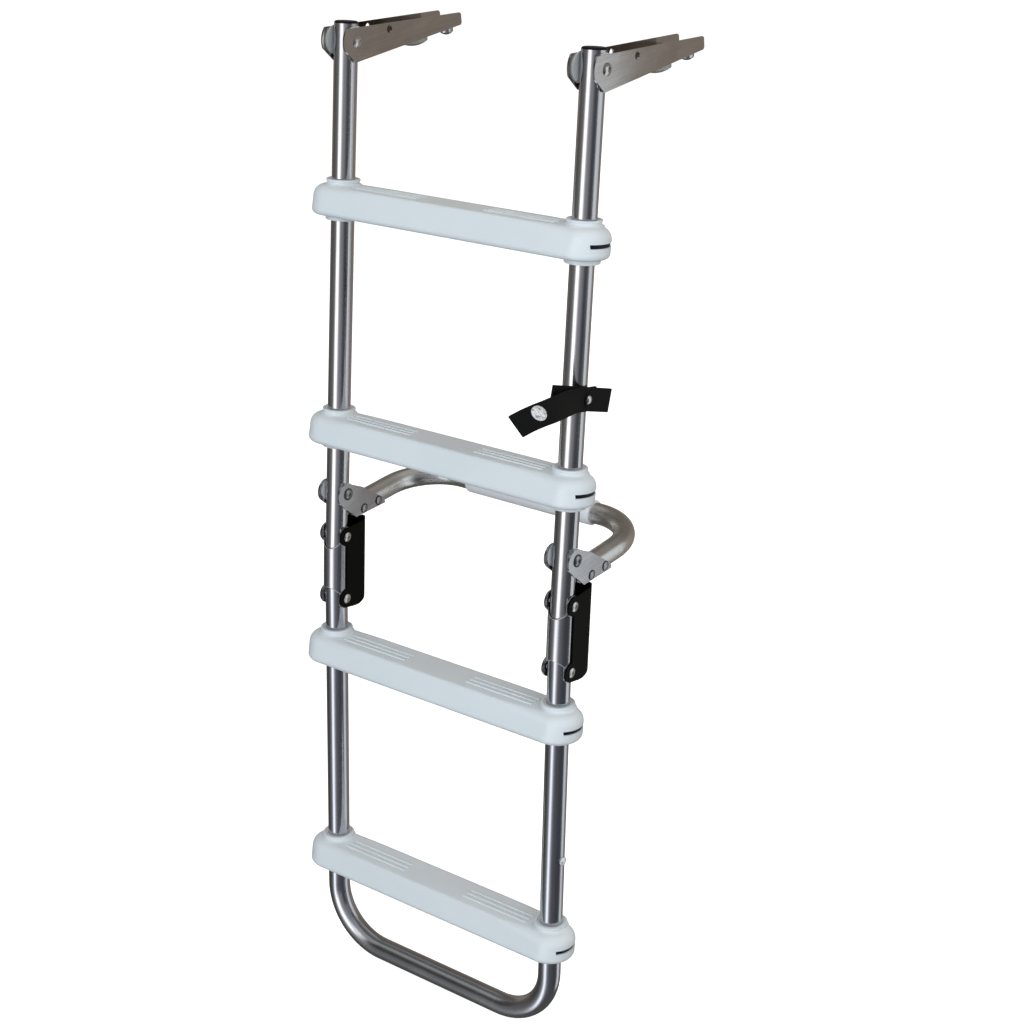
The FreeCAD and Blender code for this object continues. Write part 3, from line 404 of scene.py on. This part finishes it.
# rolled edge on the hinge sleeves' coped ends, in a brighter steel than the sleeve as a painted highlight line
def rolled_edge(name, x_mm, upper):
    so, face, flat, cope = 14.2, 14.8, -4.0, 14.1
    rr = (so ** 2 + (face + flat) ** 2) / (2.0 * (face + flat)) - 0.35
    yc = -face + rr + 0.35
    pts = []
    for i in range(41):
        x = -12.9 + 25.8 * i / 40
        z = math.sqrt(cope ** 2 - x ** 2)
        pts.append(Vector((x, yc - math.sqrt(rr ** 2 - x ** 2), -z if upper else -74.5 + z)))
    bm = bmesh.new()
    rows = []
    for i, p in enumerate(pts):
        t = (pts[min(i + 1, 40)] - pts[max(i - 1, 0)]).normalized()
        out = Vector((p.x, p.y - yc, 0)).normalized()
        side = t.cross(out).normalized()
        r = 0.62 * min(1.0, 0.35 + 0.65 * min(i, 40 - i) / 3.0)
        rows.append([bm.verts.new((p + (out * math.cos(a) + side * math.sin(a)) * r) * MM) for a in [2 * math.pi * j / 10 for j in range(10)]])
    for p, q in zip(rows[:-1], rows[1:]):
        for j in range(10):
            bm.faces.new((p[j], p[(j + 1) % 10], q[(j + 1) % 10], q[j]))
    bm.faces.new(rows[0])
    bm.faces.new(rows[-1])
    at = Matrix.Translation((x_mm * MM, 0, 0))
    return add_piece(name, bm, LINK @ at, "fold_link", mat_edge_highlight, smooth=40)


for side, x in (("left", 0.0), ("right", 314.0)):
    rolled_edge(side + "_sleeve_upper_edge", x, True)
    rolled_edge(side + "_sleeve_lower_edge", x, False)


# ---------------------------------------------------------------- floor and backdrop
def floor_mesh(z, radius):
    bm = bmesh.new()
    bmesh.ops.create_circle(bm, cap_ends=True, radius=radius, segments=96)
    me = bpy.data.meshes.new("floor")
    bm.to_mesh(me)
    bm.free()
    o = bpy.data.objects.new("floor", me)
    o.location = (0.157, -0.10, z)
    scene.collection.objects.link(o)
    return o


floor = floor_mesh(cad_lo.z - 0.0005, 30.0)
m, nt, bsdf = new_material("floor_paper")
fibre = noise(nt, coords(nt, (3, 3, 3)), 1.0, 5.0, 0.6)
nt.links.new(ramp(nt, fibre, [(0.3, (0.90, 0.90, 0.90)), (0.7, (0.93, 0.93, 0.93))]), bsdf.inputs["Base Color"])
bsdf.inputs["Roughness"].default_value = 0.9
bsdf.inputs["Specular IOR Level"].default_value = 0.1
bsdf.inputs["Emission Color"].default_value = (1.0, 1.0, 1.0, 1.0)
bsdf.inputs["Emission Strength"].default_value = 0.75
floor.data.materials.append(m)
floor.visible_glossy = False
floor.visible_diffuse = False

# ---------------------------------------------------------------- surroundings
# Soft studio: a tall bright panel in front and to the left, dimmer walls, a dark ground
world = bpy.data.worlds.new("studio")
scene.world = world
world.use_nodes = True
wt = world.node_tree
wt.nodes.clear()
wout = wt.nodes.new("ShaderNodeOutputWorld")
wbg = wt.nodes.new("ShaderNodeBackground")
wt.links.new(wbg.outputs["Background"], wout.inputs["Surface"])
tc = wt.nodes.new("ShaderNodeTexCoord")
sep = wt.nodes.new("ShaderNodeSeparateXYZ")
wt.links.new(tc.outputs["Generated"], sep.inputs["Vector"])
X, Y, Z = sep.outputs
front = math_node(wt, "ADD", math_node(wt, "MULTIPLY", X, 0.6301), math_node(wt, "MULTIPLY", Y, -0.7765))
right = math_node(wt, "ADD", math_node(wt, "MULTIPLY", X, 0.7765), math_node(wt, "MULTIPLY", Y, 0.6301))
angle = math_node(wt, "ARCTAN2", right, front)
turn01 = math_node(wt, "ADD", math_node(wt, "DIVIDE", angle, 2 * math.pi), 0.5)


def ring(stops):
    """Brightness round the room: (degrees to the right of the camera, level, tint)."""
    full = []
    for deg, level, tint in stops:
        full.append(((deg + 180.0) / 360.0, tuple(level * t for t in tint)))
    return ramp(wt, turn01, full)


PLAIN, COOL, WARM, LILAC, TAN = (1, 1, 1), (0.92, 0.98, 1.06), (1.06, 0.99, 0.90), (0.98, 0.96, 1.07), (1.12, 0.98, 0.86)
low = ring([
    (-180, 0.18, TAN), (-130, 0.11, TAN), (-110, 0.06, PLAIN), (-95, 0.09, PLAIN), (-82, 0.15, PLAIN), (-70, 0.26, PLAIN),
    (-62, 0.60, COOL), (-55, 1.45, COOL), (-50, 1.9, COOL), (-43, 1.6, COOL), (-37, 0.80, LILAC), (-29, 0.32, LILAC),
    (-19, 0.18, LILAC), (-9, 0.12, LILAC), (5, 0.105, COOL), (20, 0.085, COOL), (45, 0.065, COOL), (62, 0.10, COOL),
    (80, 0.17, PLAIN), (100, 0.20, TAN), (125, 0.26, TAN), (150, 0.22, TAN), (180, 0.18, TAN),
])
mid = ring([
    (-180, 0.20, TAN), (-140, 0.26, TAN), (-116, 0.10, TAN), (-100, 0.12, PLAIN), (-85, 0.15, PLAIN), (-70, 0.18, PLAIN),
    (-61, 0.36, PLAIN), (-54, 1.3, PLAIN), (-48, 2.1, PLAIN), (-34, 2.1, PLAIN), (-27, 1.1, PLAIN), (-19, 0.44, LILAC),
    (-9, 0.31, LILAC), (2, 0.30, LILAC), (13, 0.19, LILAC), (22, 0.10, COOL), (32, 0.07, COOL), (44, 0.10, COOL),
    (60, 0.20, PLAIN), (80, 0.26, TAN), (105, 0.26, TAN), (122, 0.25, TAN), (150, 0.18, TAN), (180, 0.20, TAN),
])
high = ring([
    (-180, 0.12, TAN), (-120, 0.10, TAN), (-95, 0.07, PLAIN), (-75, 0.06, PLAIN), (-62, 0.16, PLAIN), (-48, 1.2, PLAIN),
    (-30, 1.2, COOL), (-20, 0.5, COOL), (0, 0.30, COOL), (40, 0.22, PLAIN), (90, 0.22, TAN), (140, 0.14, TAN), (180, 0.12, TAN),
])
top = (0.40, 0.395, 0.385)
ground = (0.10, 0.10, 0.095)
f0 = spread(wt, Z, 0.0, 1.0, (-0.86, -0.66))
f1 = spread(wt, Z, 0.0, 1.0, (-0.30, -0.14))
f2 = spread(wt, Z, 0.0, 1.0, (0.13, 0.32))
f3 = spread(wt, Z, 0.0, 1.0, (0.62, 0.82))
c = mix_color(wt, f0, ground, low)
c = mix_color(wt, f1, c, mid)
c = mix_color(wt, f2, c, high)
c = mix_color(wt, f3, c, top)
wt.links.new(c, wbg.inputs["Color"])
wbg.inputs["Strength"].default_value = 1.0


# two pale screens to the right and behind, only ever seen in the polished metal
def screen(name, corners, color, strength):
    bm = bmesh.new()
    vs = [bm.verts.new(c) for c in corners]
    f = bm.faces.new(vs)
    bmesh.ops.subdivide_edges(bm, edges=bm.edges[:], cuts=3, use_grid_fill=True)
    me = bpy.data.meshes.new(name)
    bm.to_mesh(me)
    bm.free()
    o = bpy.data.objects.new(name, me)
    scene.collection.objects.link(o)
    m, nt, bsdf = new_material(name + "_cloth")
    n = noise(nt, coords(nt, (4, 4, 4)), 1.0, 3.0, 0.5)
    nt.links.new(ramp(nt, n, [(0.3, tuple(0.9 * k for k in color)), (0.7, color)]), bsdf.inputs["Emission Color"])
    bsdf.inputs["Base Color"].default_value = (0, 0, 0, 1)
    bsdf.inputs["Specular IOR Level"].default_value = 0.0
    bsdf.inputs["Emission Strength"].default_value = strength
    me.materials.append(m)
    for attr in ("visible_camera", "visible_diffuse", "visible_transmission", "visible_shadow", "visible_volume_scatter"):
        setattr(o, attr, False)
    return o


screen("screen_right", [(0.845, -0.02, 0.15), (0.845, -0.02, -1.75), (0.710, 0.32, -1.75), (0.710, 0.32, 0.15)], (0.95, 1.0, 1.04), 0.85)
screen("screen_back", [(0.905, 0.83, 0.05), (0.926, 0.83, -0.33), (1.0, 0.83, -0.55), (1.03, 0.83, -1.9), (1.34, 0.83, -1.9), (1.34, 0.83, 0.05)], (0.95, 0.99, 1.05), 0.72)

# pale wall all round that only the camera sees, behind everything
bm = bmesh.new()
bmesh.ops.create_uvsphere(bm, u_segments=64, v_segments=32, radius=29.0)
me = bpy.data.meshes.new("backdrop")
bm.to_mesh(me)
bm.free()
for p in me.polygons:
    p.use_smooth = True
backdrop = bpy.data.objects.new("backdrop", me)
backdrop.location = (0.157, -0.10, cad_lo.z)
scene.collection.objects.link(backdrop)
m, nt, bsdf = new_material("backdrop_paper")
fibre = noise(nt, coords(nt, (0.2, 0.2, 0.2)), 1.0, 3.0, 0.6)
nt.links.new(ramp(nt, fibre, [(0.3, (0.97, 0.97, 0.97)), (0.7, (1.0, 1.0, 1.0))]), bsdf.inputs["Emission Color"])
bsdf.inputs["Base Color"].default_value = (0.0, 0.0, 0.0, 1.0)
bsdf.inputs["Specular IOR Level"].default_value = 0.0
bsdf.inputs["Emission Strength"].default_value = 1.03
me.materials.append(m)
for attr in ("visible_diffuse", "visible_glossy", "visible_transmission", "visible_shadow", "visible_volume_scatter"):
    setattr(backdrop, attr, False)


# ---------------------------------------------------------------- lights
def area(name, loc, aim, size, size_y, power, color=(1, 1, 1)):
    d = bpy.data.lights.new(name, "AREA")
    d.shape = "RECTANGLE"
    d.size, d.size_y = size, size_y
    d.energy = power
    d.color = color
    o = bpy.data.objects.new(name, d)
    o.location = loc
    o.rotation_mode = "QUATERNION"
    o.rotation_quaternion = (Vector(aim) - Vector(loc)).to_track_quat("-Z", "Y")
    scene.collection.objects.link(o)
    o.visible_glossy = False
    return o


area("key", (-0.3, -2.6, 0.9), (0.157, -0.15, -0.4), 2.2, 2.2, 25.0, (0.84, 0.995, 1.11))
area("fill", (2.4, -0.7, 0.2), (0.157, -0.15, -0.5), 2.0, 2.0, 28.0, (0.92, 0.99, 1.04))
area("ceiling", (0.3, 0.5, 2.2), (0.157, -0.15, -0.5), 2.4, 2.4, 14.5, (1.06, 1.0, 0.94))
area("back", (-0.2, 2.9, 0.5), (0.157, -0.15, -0.5), 2.4, 2.4, 22.0, (0.97, 1.0, 1.02))

# ---------------------------------------------------------------- camera
cam_data = bpy.data.cameras.new("camera")
cam_data.sensor_width = 36.0
cam_data.lens = 67.408
cam_data.clip_start, cam_data.clip_end = 0.05, 100.0
cam = bpy.data.objects.new("camera", cam_data)
scene.collection.objects.link(cam)
cam.matrix_world = Matrix((
    (0.796933, -0.222539, 0.561582, 1.36940),
    (0.599828, 0.401475, -0.692115, -1.52828),
    (-0.071439, 0.888422, 0.453434, 0.47781),
    (0, 0, 0, 1)))
scene.camera = cam
scene.view_settings.view_transform = "Standard"
scene.view_settings.look = "None"
scene.view_settings.exposure = 0.0
scene.view_settings.gamma = 1.0
